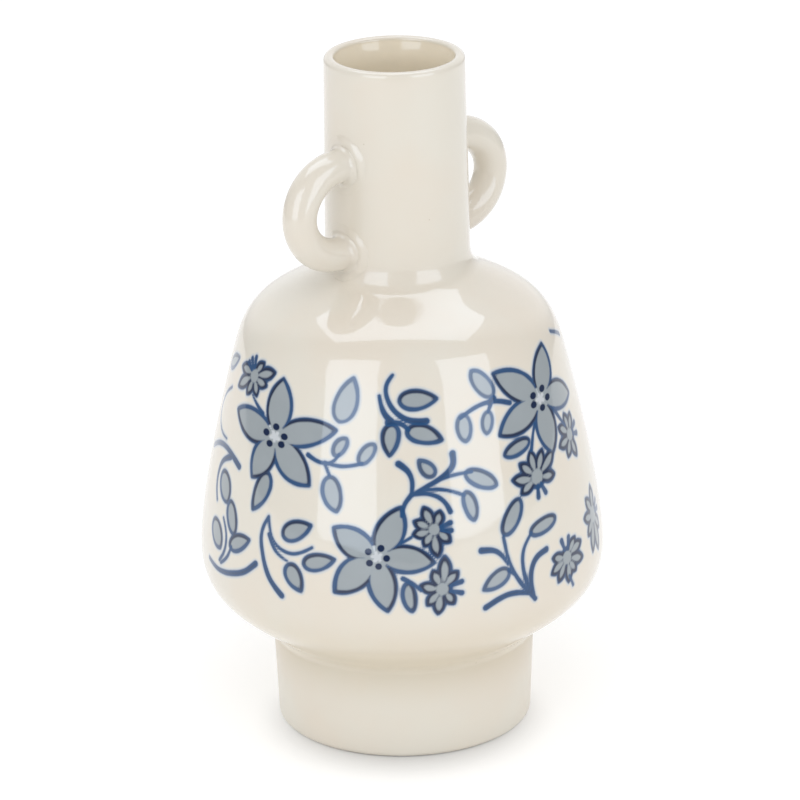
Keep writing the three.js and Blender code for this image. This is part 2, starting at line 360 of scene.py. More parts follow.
BODY = spline(
    chain(
        seam_line("foot_seam_coil", seat_first=False),
        side_of("bowl", 1),
        side_of("shoulder", 1),
        seam_line("neck_seam_coil", seat_first=True),
    ),
    0.1 * MM,
)
BODY_RUN = np.concatenate([[0], np.cumsum(np.hypot(*np.diff(BODY, axis=0).T))])
BODY_RUN -= np.interp(BELLY_Z, BODY[:, 1], BODY_RUN)


def body_radius(height):
    return np.interp(height, BODY[:, 1], BODY[:, 0])


def body_run(height):
    """How far along the body's line a height lies, from the belly."""
    return np.interp(height, BODY[:, 1], BODY_RUN)


def body_rows(low, high, step):
    """Rows of the body's outer line between two heights, about a step apart along it."""
    a, b = body_run([low, high])
    run = np.linspace(a, b, round((b - a) / step) + 1)
    return np.stack([np.interp(run, BODY_RUN, BODY[:, k]) for k in (0, 1)], axis=1)


# ---- Pottery pieces ----

def make_foot():
    low_inner, low_outer = radii_at("foot", foot_low[2])
    top_inner, top_outer = radii_at("foot", foot_high[2])
    path = profile_of("foot")
    recess, floor = path[0][1], path[-1][1]
    recess_radius = path[1][0]
    floor_radius = path[-2][0]
    wall = path[-6:-1]
    base_radius = low_outer + FOOT_EDGE
    seam = FOOT_SEAM_LOW[2]
    seam_radius = BODY[0, 0]
    outer = chain(
        arc((low_outer, FOOT_EDGE), FOOT_EDGE, -90, 0, 9),
        line((base_radius, FOOT_EDGE), (seam_radius, seam), PLAIN_STEP),
        line((seam_radius, seam), (top_outer, foot_high[2]), PLAIN_STEP),
    )
    ring = chain(
        line((recess_radius, recess), (low_inner - RING_EDGE, RING_EDGE), PLAIN_STEP),
        arc((low_inner + RING_EDGE, RING_EDGE), RING_EDGE, 190, 270, 5),
        line((low_inner + RING_EDGE, 0), (low_outer, 0), PLAIN_STEP),
    )
    round_radius = wall[1][1] - floor
    inner = chain(
        [(top_inner, foot_high[2])],
        arc((floor_radius, floor + round_radius), round_radius, 0, -90, 10),
        line((floor_radius, floor), (0, floor), 4 * PLAIN_STEP),
    )
    under = line((0, recess), (recess_radius, recess), 4 * PLAIN_STEP)
    return turned("foot_clay", [
        (outer, PLAIN_COLUMNS),
        (inner, HIDDEN_COLUMNS),
        (under, HIDDEN_COLUMNS),
        (ring[1:-1], PLAIN_COLUMNS),
    ])


def make_bowl():
    outer = chain(
        body_rows(foot_high[2], PAINT_LOW, PLAIN_STEP),
        body_rows(PAINT_LOW, BELLY_Z, PAINTED_STEP),
    )
    inner = side_of("bowl", -1)[::-1]
    return turned("bowl_clay", [(outer, PAINTED_COLUMNS), (inner, HIDDEN_COLUMNS)])


def make_shoulder():
    seat = NECK_SEAM_LOW[2]
    outer = chain(
        body_rows(BELLY_Z, PAINT_HIGH, PAINTED_STEP),
        body_rows(PAINT_HIGH, seat, PLAIN_STEP),
    )
    inner = side_of("shoulder", -1)[::-1]
    return turned("shoulder_clay", [(outer, PAINTED_COLUMNS), (inner, HIDDEN_COLUMNS)])


def make_neck():
    seat, rim = neck_low[2], neck_high[2]
    bore_base, wall_base = radii_at("neck", seat)
    lip_z = max(z for r, z in profile_of("neck") if z < rim - MM)
    bore, wall = radii_at("neck", lip_z)
    outer = chain(
        line((wall_base, seat), (wall, lip_z), PLAIN_STEP),
        arc((wall - (rim - lip_z), lip_z), rim - lip_z, 0, 90, 12),
    )
    crest = wall - (rim - lip_z)
    edge, throat = bore + LIP_EDGE, bore - LIP_THROAT

    def at(radius, depth):
        return radius, rim - depth

    round_end = at(edge, LIP_ROUND)
    inner = chain(
        cubic(at(crest - LIP_HALF_FLAT, 0), at(edge + 0.5 * MM, 0), at(edge, 0.6 * MM), round_end, 12),
        cubic(round_end, at(edge - 0.35 * MM, 3 * MM), at(throat, 6 * MM), at(throat, LIP_NARROW), 20),
        cubic(at(throat, LIP_NARROW), at(throat, 14 * MM), at(bore, 18 * MM), at(bore, LIP_EASE), 12),
        line(at(bore, LIP_EASE), (bore_base, seat), PLAIN_STEP),
    )
    return turned("neck_clay", [(outer, PLAIN_COLUMNS), (inner, PLAIN_COLUMNS)])


def make_seam(name, node, low, high):
    """A visible seam coil: the body's smooth line outside, the walls that it lies on inside."""
    outer = body_rows(low[2], high[2], 0.5 * MM)
    inner = profile_of(node)
    seat = high[2] if outer[-1, 0] > outer[0, 0] else low[2]
    corner = min(inner, key=lambda p: abs(p[0] - inner[:, 0].min()) + abs(p[1] - seat))
    return turned(name, [(outer, PLAIN_COLUMNS), ([tuple(corner)], PLAIN_COLUMNS)])


def make_belly_coil():
    low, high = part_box("belly_seam_coil")
    back = high[0]
    depth = back - min(r for r, z in profile_of("belly_seam_coil"))
    middle, half = (low[2] + high[2]) / 2, (high[2] - low[2]) / 2
    t = np.radians(np.linspace(90, 270, 13))
    crown = np.stack([back + depth * np.cos(t), middle + half * np.sin(t)], axis=1)
    wall = [(back, low[2]), (back, high[2])]
    return turned("belly_coil_clay", [(wall, HIDDEN_COLUMNS), (crown[1:-1], HIDDEN_COLUMNS)])


BAND_LOW, BAND_HIGH = -6, 88  # mm along the wall above the belly that are meshed finely for the painting
BAND_MARGIN = 2  # mm past them that the painting is still worked out for
PAINT_LOW, PAINT_HIGH = (float(np.interp(run * MM, BODY_RUN, BODY[:, 1])) for run in (BAND_LOW, BAND_HIGH))


# ---- Handles ----

HANDLE_AROUND = 64
HANDLE_FILLET = 2.3 * MM
HANDLE_UNEVEN = 0.02  # of the coil's radius
HANDLE_BOX_SLACK = -0.04 * MM  # by which the CAD box's half height passes the coil's
HANDLE_STAND_OFF = 1.4 * MM  # from the neck's widest line out to the ellipse's centre
FILLET_UNEVEN = 0.15
FILLET_EDGE = 0.05 * MM  # least distance from the wall that the fillet's curve is worked out for
ROOT_ROWS, COIL_ROWS = 30, 64
ROOT_LENGTH = 5.5 * MM  # of coil at each end that takes the closer rows
ROOT_SINK = 3.0 * MM
ROOT_SPREAD = 2.5  # how fast the fillet still widens under the wall, so that it leaves the wall smoothly
ROOT_DEPTH = 0.5 * MM  # and how deep it goes on doing so
BEAD_OFFSET = 7.7 * MM  # from the coil's centre line, measured over the neck
BEAD_HALF_WIDTH = 2.3 * MM
BEAD_HEIGHT = 0.75 * MM
BEAD_SKIN = 0.04 * MM  # how far its thin edges lie under the wall
BEAD_DEPTH = 0.6 * MM
BEAD_STEPS = 96
BEAD_AROUND = 24
BEAD_ENDS = 0.58  # (1 + cosine) / 2, turning from the fullest place, where a bead fades out
BEAD_LEAN = {True: 0.70, False: 0.35}  # radians from sideways to the fullest place, upper and lower
BEAD_FULL = {True: 1.0, False: 0.7}
BEAD_STRAY = 0.35 * MM


def wall_radius(height):
    """Outer radius of the neck, with the hollow curve that leads into it."""
    low, high = NECK_SEAM_HIGH[2], neck_high[2]
    at_low = BODY[-1, 0]
    at_high = radii_at("neck", max(z for r, z in profile_of("neck") if z < high - MM))[1]
    straight = np.interp(height, [low, high], [at_low, at_high])
    return np.where(height < low, body_radius(height), straight)


class Handle:
    """Size and place of a handle's centre line, an ellipse in the XZ plane, from its CAD node's box."""

    def __init__(self):
        low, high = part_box("handle_right")
        self.coil = high[1]
        self.middle = (low[2] + high[2]) / 2
        self.half_height = (high[2] - low[2]) / 2 - self.coil - HANDLE_BOX_SLACK
        self.wall = float(wall_radius(self.middle))
        self.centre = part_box("neck")[1][0] + HANDLE_STAND_OFF
        self.reach = high[0] - self.coil - self.centre

    def place(self, turn):
        """Centre line and its unit direction, as (x, z) columns, at an angle of the ellipse."""
        x = self.centre + self.reach * np.cos(turn)
        z = self.middle + self.half_height * np.sin(turn)
        along = np.stack([-self.reach * np.sin(turn), self.half_height * np.cos(turn)], axis=-1)
        return np.stack([x, z], axis=-1), along / np.linalg.norm(along, axis=-1, keepdims=True)


def tube_faces(rows, columns, looped=False):
    """Faces between the rows of a tube's vertices, and from the last row to the first if it is a ring."""
    i, j = np.meshgrid(np.arange(rows if looped else rows - 1), np.arange(columns), indexing="ij")
    a, b, k = i * columns, (i + 1) % rows * columns, (j + 1) % columns
    return np.stack([a + j, b + j, b + k, a + k], axis=-1).reshape(-1, 4).tolist()


def make_handle(name, side):
    """One coil handle whose roots flare on to the neck; side -1 turns it half round the axis."""
    shape = Handle()
    end = math.acos(-(HANDLE_STAND_OFF + ROOT_SINK) / shape.reach)
    near_root = end - math.asin(ROOT_LENGTH / shape.reach)
    turns = np.concatenate([
        np.linspace(-end, -near_root, ROOT_ROWS)[:-1],
        np.linspace(-near_root, near_root, COIL_ROWS),
        np.linspace(near_root, end, ROOT_ROWS)[1:],
    ])
    centre, along = shape.place(turns)
    psi = np.arange(HANDLE_AROUND) * TURN / HANDLE_AROUND
    uneven = 1 + HANDLE_UNEVEN * (
        0.5 * np.sin(2.2 * turns + 0.8)[:, None] * np.cos(psi + 0.6)[None]
        + 0.5 * np.sin(4.1 * turns - 1.1)[:, None]
        - 0.6
    )
    across = np.stack([-along[:, 1], along[:, 0]], axis=1)
    radius = shape.coil * uneven

    def at(radius):
        out, sideways = radius * np.cos(psi), radius * np.sin(psi)
        x = centre[:, :1] + out * across[:, :1]
        z = centre[:, 1:] + out * across[:, 1:]
        return x, sideways, z

    for _ in range(3):
        x, y, z = at(radius)
        clear = np.hypot(x, y) - wall_radius(z)
        bare = np.clip(clear, FILLET_EDGE, HANDLE_FILLET)
        fillet = HANDLE_FILLET - np.sqrt(bare * (2 * HANDLE_FILLET - bare))
        fillet += ROOT_SPREAD * np.clip(-clear, 0, ROOT_DEPTH)
        fillet *= 1 - FILLET_UNEVEN + FILLET_UNEVEN * np.sin(3 * psi + turns[:, None])
        radius = shape.coil * uneven + fillet
    x, y, z = at(radius)
    rings = np.stack([side * x, side * y, z], axis=-1)
    caps = [rings[0].mean(axis=0), rings[-1].mean(axis=0)]
    points = np.concatenate([rings.reshape(-1, 3), caps])
    count, n = len(turns), HANDLE_AROUND
    faces = tube_faces(count, n)
    first, last = count * n, count * n + 1
    faces += [[first, a, (a + 1) % n] for a in range(n)]
    faces += [[last, (count - 1) * n + (a + 1) % n, (count - 1) * n + a] for a in range(n)]
    piece = new_piece(name, points.tolist(), faces)
    lay_out_strip(piece.data, np.concatenate([np.repeat(np.linspace(0, 1, count), n), [0, 1]]), count, n)
    return piece


def lay_out_strip(mesh, share, rows, columns):
    """A bake map of a tube: its length up the sheet, its girth across."""
    corners, sizes, face = corners_of(mesh)
    starts = np.concatenate([[0], np.cumsum(sizes)[:-1]])
    column = corners % columns
    first = column[starts][face]
    wrapped = (first - column > columns // 2) * columns - (column - first > columns // 2) * columns
    cap = corners >= rows * columns
    u = np.where(cap, (first + 0.5) / columns, (column + wrapped) / columns)
    store_bake_map(mesh, 0.01 + 0.97 * np.clip(u, 0, 1), 0.01 + 0.98 * share[corners])


def make_bead(name, side, upper, seed):
    """The luting bead pressed round a handle's root: a low uneven roll lying on the neck."""
    shape = Handle()
    crossing = math.acos((shape.wall - shape.centre) / shape.reach) * (1 if upper else -1)
    root = shape.place(np.array(crossing))[0][1]
    psi = np.arange(BEAD_STEPS) * TURN / BEAD_STEPS
    full = smoothstep(BEAD_ENDS, 1.0, np.cos(psi - BEAD_LEAN[upper]) * 0.5 + 0.5)
    full *= BEAD_FULL[upper] * (0.9 + 0.1 * np.sin(3 * psi + seed) * np.cos(5 * psi + 2 * seed))
    offset = BEAD_OFFSET + BEAD_STRAY * np.sin(2 * psi + 1.7 * seed)
    girth = np.arange(BEAD_AROUND) * TURN / BEAD_AROUND
    reach = offset[:, None] + BEAD_HALF_WIDTH * np.cos(girth)
    crown = np.where(girth < math.pi, np.sin(girth) ** 4, 0.0)
    lift = BEAD_HEIGHT * full[:, None] * crown - BEAD_SKIN
    lift = lift + np.where(girth > math.pi, BEAD_DEPTH * np.sin(girth), 0.0)
    y = reach * np.cos(psi)[:, None]
    z = root + reach * np.sin(psi)[:, None]
    r = wall_radius(z) + lift
    x = np.sqrt(r ** 2 - y ** 2)
    points = np.stack([side * x, side * y, z], axis=-1).reshape(-1, 3)
    return new_piece(name, points.tolist(), tube_faces(BEAD_STEPS, BEAD_AROUND, looped=True))


# ---- Painted flowers ----
# Places on the body are (degrees round the vase from the front, mm along the wall above the belly).
# Directions are degrees anticlockwise from "rightwards round the vase"; lengths are in mm.
# The whole arrangement is painted twice, half a turn apart.

FRONT = -90.0 + VIEW_AZIMUTH
REACH = 4.0  # mm: how far from a mark its distance is kept
FILL_SHIFT = (-0.22, 0.16)  # mm by which the grey wash missed its outlines
DARK_SIDE = 1.5  # mm each way over which a shape's outline turns from its pale side to its dark one
CORE_RADIUS = 4.1  # of the star round a large flower's middle, mm
CORE_RAY = 0.8
DOT_RING = 3.3
DOT_RADIUS = 1.2
LOBE_HALF = 1.6
LOBE_LEAN = 2.5  # mm by which a blossom's outline is moved towards dark
EYE_SHARE = 0.36  # of a blossom's mean lobe
TUFT_START = 0.42  # of the way out to a tuft's tip
BRUSH_STEP = 0.9
PETAL, LOBE = (0.24, 0.72), (0.50, 0.76)  # shares of the length that shape the sides
LEAF_NEAR, LEAF_FAR = 0.05, 0.66
THIN, FINE, FULL, BOLD = 0.42, 0.60, 0.85, 1.15  # half widths of a brush line, mm

# place, how far the dots spread sideways, then each petal's (direction, length, half width)
FLOWERS = [
    ((-44, 56.5), 1.3, [(90, 20, 5.5), (15, 24.5, 4.6), (-39, 21.5, 5.3), (-118, 18.5, 5), (173, 23.5, 5.2)]),
    ((53.6, 65.5), 1.3, [(144, 23, 5), (62, 18.8, 5.3), (-13, 22, 4.9), (-87, 19.7, 5.4), (199, 22.8, 4.8)]),
    ((-7.3, 21), 1, [(65, 18.7, 4.7), (-7, 19.5, 4.5), (-79, 19.2, 4.6), (222, 19.6, 5), (149, 17.4, 4.8)]),
]

# place, each lobe's (direction, length), the tuft's directions, the tuft's length
BLOSSOMS = [
    ((9.3, 30), [(113, 8.4), (70, 6.5), (155, 7.3), (191, 7.3), (237, 6.6), (275, 9.5), (318, 7)],
     (17, -9), 5.8),
    ((10.9, 9.2), [(84, 11.2), (114, 7.3), (167, 7.6), (225, 7.4), (259, 8.8), (305, 6.7), (45, 7.8)],
     (16, -17), 7),
    ((45.4, 40.5), [(98, 9.4), (62, 9.4), (32, 12), (138, 9.2), (172, 11), (206, 9), (350, 9)],
     (263, 295), 7),
    ((53.6, 8.8), [(200, 9.5), (232, 9), (165, 8), (272, 9), (308, 8), (342, 10.5), (15, 10), (42, 8)],
     (108, 73), 7),
    ((-59.7, 73.4), [(20, 11.6), (350, 8.1), (302, 7.2), (251, 7.6), (214, 12), (178, 9.8), (54, 6.9)],
     (104, 128, 150), 6.2),
    ((66.7, 48), [(100, 8), (145, 8.5), (190, 9), (235, 8), (285, 8.5), (60, 7.5)], (20, -15), 6.5),
    ((73, 16), [(80, 10), (125, 9), (170, 9), (215, 9), (250, 13), (280, 14), (310, 9)], (30, 0), 6.5),
]

# base, tip, half width, paleness and, for a round-ended leaf, how far along its sides reach
LEAVES = [
    ((-20.4, 66), (-16.3, 81), 3.8, 1), ((-0.3, 74), (12.4, 74), 3.1, 0.1),
    ((-2.6, 66), (-3.6, 55.5), 2.7, 0.1), ((2.1, 63.8), (13.2, 60), 2.9, 0.1),
    ((-21.2, 54.5), (-17.6, 60.5), 1.9, 0.8, 0.9), ((-12.8, 52.5), (-8.5, 59.2), 2, 0.8, 0.9),
    ((-22.5, 47), (-19.6, 35.5), 3.2, 0.5, 0.8), ((10, 48.3), (5.6, 53.7), 2.1, 0.6),
    ((21, 67.5), (21, 58.5), 2.4, 0.9, 0.88), ((32.7, 72), (26.1, 81.5), 2.9, 0.9, 0.88),
    ((30.2, 67), (28.6, 59.8), 1.9, 0.8, 0.85), ((44.6, 53.6), (34, 51), 2.3, 0.1, 0.88),
    ((20, 48), (29.8, 42), 2.6, 0.4, 0.88), ((19.5, 41.5), (21.5, 31.5), 2.1, 0.4, 0.85),
    ((30.6, 24.5), (37.2, 35.2), 2.9, 0.2, 0.92), ((39.7, 22.5), (50.3, 24.5), 2.4, 0.2, 0.95),
    ((31, 12), (22.9, 7), 2.6, 0.6), ((-36.5, 24), (-27.4, 29.5), 3.1, 0.1),
    ((-29, 15.8), (-19.6, 19), 2.7, 0.1), ((-34, 14.5), (-29.5, 6.2), 3, 0.1),
    ((1.3, 12), (2.4, 2), 2.1, 0.1, 0.85), ((-44.5, 43.5), (-49.4, 29.5), 3.2, 0.1),
    ((-68.5, 36), (-62.8, 27), 3.8, 0.1, 0.85), ((-60.9, 28.2), (-56.9, 17.6), 2.9, 0.1, 0.85),
    ((-58.4, 13), (-49.4, 18.5), 2.7, 0.1), ((-70.3, 17.8), (-63.8, 10.2), 3.8, 0.1, 0.85),
    ((-84, 69.5), (-74.4, 75), 2.2, 0.5),
]

# half width at the start and at the end, then the points along each brush line that has them
LINES = {
    (FINE, FINE): [
        [(0, 26), (2.7, 27.8)], [(54, 2), (56.2, -2.5)], [(-64, 5.5), (-61.3, 10), (-61, 16), (-63.7, 21)],
        [(-63, 5), (-59.2, 9), (-57.6, 13)], [(-42.4, 29), (-39.5, 21), (-33, 18.5), (-26.6, 22)],
        [(-24.5, 51.7), (-18.8, 51), (-12.2, 52.5)], [(-24.5, 51.7), (-22.5, 47.5)],
        [(2.9, 42), (9.9, 46), (16.5, 47.8), (22, 48)],
        [(2.9, 42), (8.3, 43.5), (14.8, 42.5), (18.9, 40.5)], [(48.3, 58), (46.2, 54), (44.6, 50)],
        [(33.2, 9.5), (31, 12)],
    ],
    (FULL, FINE): [
        [(0, 13.6), (2.7, 11.7), (5, 9.2)], [(39.3, 68), (32.7, 70), (24.9, 69), (20, 66.5)],
        [(31.9, 70), (30.2, 67)], [(60, 59.5), (62.6, 55), (64.7, 52)],
        [(39.7, -1), (33.9, 8), (31, 17), (30.2, 24)], [(38.4, 1), (36, 10), (36.8, 18), (40, 22.5)],
    ],
    (FINE, THIN): [
        [(45, 50), (46.5, 54), (47.5, 57)], [(-75.2, 64), (-81.3, 59), (-83, 53), (-79.7, 49), (-70.3, 47)],
    ],
    (THIN, FULL): [[(-58.5, 67), (-53, 63.5), (-51, 62.5)]],
    (FULL, BOLD): [
        [(-84.2, 39), (-75.6, 43.5), (-67.4, 44.2), (-58.8, 41.2)],
        [(-71.5, 3), (-65, 2), (-56, 4), (-50.2, 7), (-46, 11.2)],
        [(39, 0.5), (38.4, 8), (40.5, 13), (45, 15)], [(38.4, 1.5), (30.7, 3.5), (23.3, 0.5)],
    ],
    (FINE, BOLD): [
        [(-69.9, 25), (-72.3, 31), (-71, 38), (-65, 42.5)],
        [(-42.4, 29), (-44.5, 23), (-43.6, 16), (-40.4, 8), (-35.9, 3)],
        [(-2.5, 82.5), (-4.7, 78.9), (-4, 73.9), (-1.1, 69.7), (3, 67.2), (8.5, 66.7)],
        [(-7, 75.5), (-6.3, 72.2), (-4.3, 68.3), (-2.9, 67)],
        [(2.9, 42), (7.4, 44.5), (13.2, 48), (16, 51), (16.3, 55)], [(31, 14), (27.4, 19.5), (22.9, 20.7)],
    ],
    (FULL, THIN): [
        [(-41.6, 23), (-38.7, 18), (-34.4, 15.5)], [(-30.3, 53.2), (-26.2, 51.5), (-22, 52), (-19.6, 55)],
    ],
    (BOLD, FINE): [
        [(-4, 66.5), (0.5, 66), (2.6, 64)], [(-0.8, 52.7), (2.1, 50), (3.3, 46), (2.9, 42)],
    ],
    (FINE, FULL): [
        [(2.9, 42), (8.3, 42), (12.4, 39.5), (14.4, 35.5)], [(0, 35), (0.9, 39), (2.9, 42)],
        [(73.5, 83.3), (78, 81.5), (83, 79)],
    ],
    (BOLD, BOLD): [[(32.9, 70.9), (31.2, 69.9)]],
}


def two_sided(length, half, near, far, bend=0.0, count=18):
    """A closed leaf shape along +x: its sides leave the base and reach the tip at near and far."""
    t = np.linspace(0, 1, count)
    x = 3 * (1 - t) ** 2 * t * near * length + 3 * (1 - t) * t ** 2 * far * length + t ** 3 * length
    y = 4 * t * (1 - t) * half
    curve = bend * x * (length - x) / length
    upper = np.stack([x, y + curve], axis=1)
    lower = np.stack([x, -y + curve], axis=1)
    return np.concatenate([upper, lower[-2:0:-1]])


def from_segment(x, y, start, end):
    """How far along a segment its nearest point is, from 0 to 1, and the way from there to x, y."""
    (ax, ay), (bx, by) = start, end
    ex, ey = bx - ax, by - ay
    t = np.clip(((x - ax) * ex + (y - ay) * ey) / (ex * ex + ey * ey), 0, 1)
    return t, x - ax - t * ex, y - ay - t * ey


def outline_distance(x, y, outline):
    """Signed distance to a closed outline, negative inside."""
    best = np.full(x.shape, 1e9)
    inside = np.zeros(x.shape, bool)
    for start, end in zip(outline, np.roll(outline, -1, axis=0)):
        _, right, up = from_segment(x, y, start, end)
        best = np.minimum(best, right ** 2 + up ** 2)
        (ax, ay), (bx, by) = start, end
        if by != ay:
            inside ^= ((ay > y) != (by > y)) & (x < ax + (y - ay) * (bx - ax) / (by - ay))
    return np.sqrt(best) * np.where(inside, -1, 1)


def line_distance(x, y, points, start, end):
    """Signed distance to a brush line whose half width goes from start to end, with round ends."""
    best = np.full(x.shape, 1e9)
    width = np.linspace(start, end, len(points))
    for k in range(len(points) - 1):
        t, right, up = from_segment(x, y, points[k], points[k + 1])
        best = np.minimum(best, np.hypot(right, up) - width[k] - t * (width[k + 1] - width[k]))
    return best


class Painting:
    """Distances from points of the painted wall to the marks on it, in mm."""

    def __init__(self, angle, height):
        self.angle = np.degrees(angle) - FRONT
        self.run = body_run(height) / MM
        self.radius = body_radius(height) / MM
        kinds = ("outline", "wash", "brush", "dots", "core")
        self.marks = {name: np.full(angle.shape, REACH) for name in kinds}
        self.pale = np.zeros(angle.shape)
        self.deep = np.full(angle.shape, 0.5)

    def keep(self, name, pick, distance):
        """Keeps the least distance to any mark of a kind."""
        self.marks[name][pick] = np.minimum(self.marks[name][pick], distance)

    def near(self, place, reach):
        """Points within reach of a place, and of the one opposite, in mm right and up from it."""
        for opposite in (0, 180):
            turn = (self.angle - place[0] - opposite + 180) % 360 - 180
            x, y = np.radians(turn) * self.radius, self.run - place[1]
            pick = np.flatnonzero((np.abs(x) < reach) & (np.abs(y) < reach))
            yield pick, x[pick], y[pick]

    def shape(self, place, direction, outline, pale=0.0, side=1.0, lean=0.0):
        """A closed shape, drawn with an outline that is darker on one side, and filled with wash."""
        c, s = math.cos(math.radians(direction)), math.sin(math.radians(direction))
        reach = outline[:, 0].max() + REACH
        for pick, x, y in self.near(place, reach):
            u, v = x * c + y * s, y * c - x * s
            distance = outline_distance(u, v, outline)
            nearer = distance < self.marks["outline"][pick]
            self.keep("outline", pick, distance)
            dark = smoothstep(-DARK_SIDE, DARK_SIDE, side * v + lean)
            self.pale[pick] = np.where(nearer, pale, self.pale[pick])
            self.deep[pick] = np.where(nearer, dark, self.deep[pick])
            x, y = x - FILL_SHIFT[0], y - FILL_SHIFT[1]
            self.keep("wash", pick, outline_distance(x * c + y * s, y * c - x * s, outline))

    def line(self, place, points, start, end):
        """A solid brush line through points given in mm from a place."""
        reach = np.abs(points).max() + REACH
        for pick, x, y in self.near(place, reach):
            self.keep("brush", pick, line_distance(x, y, points, start, end))

    def flower(self, place, dots_across, petals):
        for number, (direction, length, half) in enumerate(petals):
            bend = 0.10 * math.sin(2.1 * number + place[0])
            self.shape(place, direction, two_sided(length, half, *PETAL, bend))
            dot = math.radians(direction)
            across, up = dots_across * DOT_RING * math.cos(dot), DOT_RING * math.sin(dot)
            for pick, x, y in self.near(place, 2 * REACH):
                self.keep("dots", pick, np.hypot((x - across) / dots_across, y - up) - DOT_RADIUS)
        for pick, x, y in self.near(place, 2 * REACH):
            away = np.hypot(x / dots_across, y)
            rays = CORE_RAY * np.cos(5 * (np.arctan2(y, x) - math.radians(petals[0][0])))
            self.keep("core", pick, away + rays * smoothstep(3.0, 1.0, away) - CORE_RADIUS)

    def blossom(self, place, lobes, tuft, tuft_length):
        for number, (direction, length) in enumerate(lobes):
            bend = 0.15 * math.sin(1.7 * number + place[0])
            half = LOBE_HALF * (0.8 + 0.04 * length)
            self.shape(place, direction, two_sided(length, half, *LOBE, bend), lean=LOBE_LEAN)
        turn = np.arange(24) * TURN / 24
        eye = EYE_SHARE * sum(length for _, length in lobes) / len(lobes)
        self.shape(place, 0, eye * np.stack([np.cos(turn), np.sin(turn)], axis=1), lean=LOBE_LEAN)
        for direction in tuft:
            a = math.radians(direction)
            tip = np.array([math.cos(a), math.sin(a)]) * tuft_length
            self.line(place, np.stack([TUFT_START * tip, tip]), FINE, 0.5 * (FULL + BOLD))

    def leaf(self, base, tip, half, pale, far=LEAF_FAR):
        radius = np.interp(tip[1] * MM, BODY_RUN, BODY[:, 0]) / MM
        x, y = math.radians(tip[0] - base[0]) * radius, tip[1] - base[1]
        direction = math.degrees(math.atan2(y, x))
        bend = 0.12 * math.sin(0.7 * base[0] + 0.3 * base[1])
        shape = two_sided(math.hypot(x, y), half, LEAF_NEAR, far, bend)
        self.shape(base, direction, shape, pale, side=1.0 if y > 0 or x > 0 else -1.0)

    def spray(self, stops, start, end):
        stops = np.array(stops, float)
        place = stops[0]
        radius = np.interp(stops[:, 1] * MM, BODY_RUN, BODY[:, 0]) / MM
        flat = np.stack([np.radians(stops[:, 0] - place[0]) * radius, stops[:, 1] - place[1]], axis=1)
        self.line(place, spline(flat, BRUSH_STEP) if len(flat) > 2 else flat, start, end)

    def paint(self):
        for flower in FLOWERS:
            self.flower(*flower)
        for blossom in BLOSSOMS:
            self.blossom(*blossom)
        for leaf in LEAVES:
            self.leaf(*leaf)
        for (start, end), lines in LINES.items():
            for stops in lines:
                self.spray(stops, start, end)


WALL_DEPTH = 1.5 * MM  # how far under the outer line a point still belongs to the outer wall


def paint(piece):
    """Stores on a piece how near each point of its outer wall is to each kind of mark, 0 where none is."""
    mesh = piece.data
    x, y, z = read(mesh.vertices, "co", 3, float).T
    wall = np.hypot(x, y) > body_radius(z) - WALL_DEPTH
    run = body_run(z)
    low, high = (BAND_LOW - BAND_MARGIN) * MM, (BAND_HIGH + BAND_MARGIN) * MM
    pick = np.flatnonzero(wall & (run > low) & (run < high))
    work = Painting(np.arctan2(y[pick], x[pick]), z[pick])
    work.paint()
    layers = {name: REACH - distance for name, distance in work.marks.items()}
    for name, values in {**layers, "pale": work.pale, "deep": work.deep}.items():
        whole = np.zeros(len(mesh.vertices), np.float32)
        whole[pick] = values
        store(mesh, name, whole)


# ---- Materials ----

def srgb(red, green, blue):
    """Linear RGBA from the 0 to 255 values that a colour has on screen."""
    def linear(value):
        c = value / 255
        return c / 12.92 if c <= 0.04045 else ((c + 0.055) / 1.055) ** 2.4
    return (linear(red), linear(green), linear(blue), 1.0)


CREAM = srgb(226, 219, 207)
CREAM_WARM = srgb(225, 215, 200)
CREAM_COOL = srgb(224, 221, 210)
# darker yellow of glaze pooled in a hollow, also used as painted shade under the bowl
POOLED_GLAZE_AND_SHADE = srgb(205, 191, 162)
# painted light: a lighter, warmer cream for the inside, standing in for light falling into the mouth
INSIDE_PAINTED_LIGHT = srgb(241, 231, 211)
SPECK = srgb(168, 150, 120)
NAVY = srgb(8, 32, 68)
COBALT = srgb(34, 76, 122)
FADED = srgb(98, 118, 146)
HALO = srgb(188, 198, 210)
WASH = srgb(147, 156, 162)
WASH_PALE = srgb(165, 174, 181)

# middle height, half height and strength of each band where the cream turns darker and yellower: pooled glaze
# below the neck, and over the foot seam a wide band that is mostly painted shade under the bowl, partly
# pooled glaze
POOL_AND_SHADE_BANDS = [
    (FOOT_SEAM_HIGH[2] + 5 * MM, 24 * MM, 0.55),
    (NECK_SEAM_LOW[2] + 3 * MM, 7 * MM, 0.05),
]
INSIDE_LIGHT_DEPTH = (0.3 * MM, 1.6 * MM)  # below the rim, where the inside's painted light, a lighter and warmer cream, begins and is full

# mm from a mark where its ink begins and where it is full
LINE_HALF = 0.76
LINE_EDGE, STROKE_EDGE, DOT_EDGE = (0.42, -0.34), (0.42, -0.28), (0.26, -0.22)
HALO_EDGE, WASH_EDGE = (1.25, 0.1), (-0.25, -0.70)
CORE_LINE, CORE_WASH = (-0.5, 0.3), (-2.9, -1.7)  # the star in a large flower clears its lines and wash
DARK_EDGE, WET_EDGE = (0.70, -0.10), (-0.25, -1.0)


